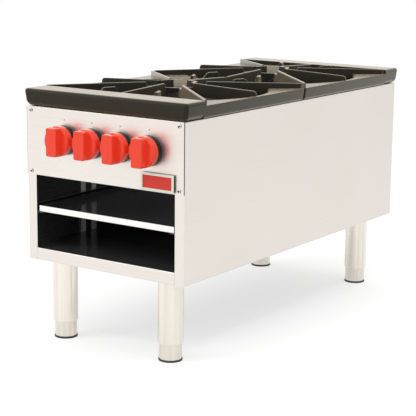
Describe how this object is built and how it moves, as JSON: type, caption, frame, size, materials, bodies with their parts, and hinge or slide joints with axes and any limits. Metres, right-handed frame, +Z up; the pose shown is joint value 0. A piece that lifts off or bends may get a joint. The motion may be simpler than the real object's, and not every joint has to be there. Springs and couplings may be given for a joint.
{
  "type": "stock pot range",
  "caption": "Low open-fronted gas stock pot range: stainless box body on round legs, two ringed burners under cast-iron top grates, red control knobs and a pull-out drip tray.",
  "frame": {"origin": "on the floor, under the middle of the bounding box, which runs from the front of the knobs to the end of the gas inlet pipe", "axes": "+X to the right of someone facing the control panel, +Y from the control panel to the back, +Z up"},
  "size_m": [0.472, 1.0672, 0.61],
  "materials": {
    "steel": "brushed stainless sheet",
    "dark_steel": "plain steel, duller",
    "badge_metal": "pale satin",
    "red_plastic": "semi-gloss red",
    "black_plastic": "semi-gloss black",
    "valve_brass": "turned",
    "black_pipe": "black iron pipe",
    "tube_aluminium": "drawn tube",
    "cast_iron": "semi-gloss black enamel"
  },
  "bodies": {
    "range": {"left_side_panel": "steel", "right_side_panel": "steel", "back_panel": "steel", "base_pan": "steel", "control_panel": "steel", "panel_screw_upper_left": "dark_steel", "panel_screw_upper_right": "dark_steel", "panel_screw_lower_left": "dark_steel", "panel_screw_lower_right": "dark_steel", "badge_frame": "badge_metal", "badge_face": "red_plastic", "knob_bezel_1": "black_plastic", "gas_valve_1": "valve_brass", "knob_bezel_2": "black_plastic", "gas_valve_2": "valve_brass", "knob_bezel_3": "black_plastic", "gas_valve_3": "valve_brass", "knob_bezel_4": "black_plastic", "gas_valve_4": "valve_brass", "gas_manifold": "black_pipe", "gas_inlet_pipe": "black_pipe", "rear_outer_supply_tube": "tube_aluminium", "front_outer_supply_tube": "tube_aluminium", "front_inner_supply_tube": "tube_aluminium", "rear_inner_supply_tube": "tube_aluminium", "front_pilot_tube": "tube_aluminium", "rear_pilot_tube": "tube_aluminium", "front_heat_shield": "steel", "left_burner_rail": "dark_steel", "right_burner_rail": "dark_steel", "grate_support_bar": "steel", "front_outer_burner": "cast_iron", "front_inner_burner": "cast_iron", "rear_outer_burner": "cast_iron", "rear_inner_burner": "cast_iron", "left_side_stiffener": "steel", "right_side_stiffener": "steel", "left_tray_runner": "steel", "right_tray_runner": "steel", "leg_front_left": "steel", "leg_front_right": "steel", "leg_rear_left": "steel", "leg_rear_right": "steel"},
    "knob_1_body": {"knob_1": "red_plastic", "valve_stem_1": "valve_brass"},
    "knob_2_body": {"knob_2": "red_plastic", "valve_stem_2": "valve_brass"},
    "knob_3_body": {"knob_3": "red_plastic", "valve_stem_3": "valve_brass"},
    "knob_4_body": {"knob_4": "red_plastic", "valve_stem_4": "valve_brass"},
    "tray": {"drip_tray": "steel"},
    "front_grate": {"front_top_grate": "cast_iron"},
    "rear_grate": {"rear_top_grate": "cast_iron"},
    "front_left_foot": {"foot_front_left": "steel"},
    "front_right_foot": {"foot_front_right": "steel"},
    "rear_left_foot": {"foot_rear_left": "steel"},
    "rear_right_foot": {"foot_rear_right": "steel"}
  },
  "joints": [
    {"name": "knob_1_turn", "type": "hinge", "parent": "range", "child": "knob_1_body", "pos_m": [-0.1125, -0.48445, 0.4905], "axis": [0, -1, 0], "range_deg": [0, 90]},
    {"name": "knob_2_turn", "type": "hinge", "parent": "range", "child": "knob_2_body", "pos_m": [-0.0308, -0.48445, 0.4905], "axis": [0, -1, 0], "range_deg": [0, 90]},
    {"name": "knob_3_turn", "type": "hinge", "parent": "range", "child": "knob_3_body", "pos_m": [0.0509, -0.48445, 0.4905], "axis": [0, -1, 0], "range_deg": [0, 90]},
    {"name": "knob_4_turn", "type": "hinge", "parent": "range", "child": "knob_4_body", "pos_m": [0.1326, -0.48445, 0.4905], "axis": [0, -1, 0], "range_deg": [0, 90]},
    {"name": "tray_slide", "type": "slide", "parent": "range", "child": "tray", "axis": [0, -1, 0], "range_m": [0, 0.8]},
    {"name": "front_grate_lift", "type": "slide", "parent": "range", "child": "front_grate", "axis": [0, 0, 1], "range_m": [0, 0.15]},
    {"name": "rear_grate_lift", "type": "slide", "parent": "range", "child": "rear_grate", "axis": [0, 0, 1], "range_m": [0, 0.15]},
    {"name": "front_left_foot_extend", "type": "slide", "parent": "range", "child": "front_left_foot", "axis": [0, 0, -1], "range_m": [0, 0.02]},
    {"name": "front_right_foot_extend", "type": "slide", "parent": "range", "child": "front_right_foot", "axis": [0, 0, -1], "range_m": [0, 0.02]},
    {"name": "rear_left_foot_extend", "type": "slide", "parent": "range", "child": "rear_left_foot", "axis": [0, 0, -1], "range_m": [0, 0.02]},
    {"name": "rear_right_foot_extend", "type": "slide", "parent": "range", "child": "rear_right_foot", "axis": [0, 0, -1], "range_m": [0, 0.02]}
  ]
}
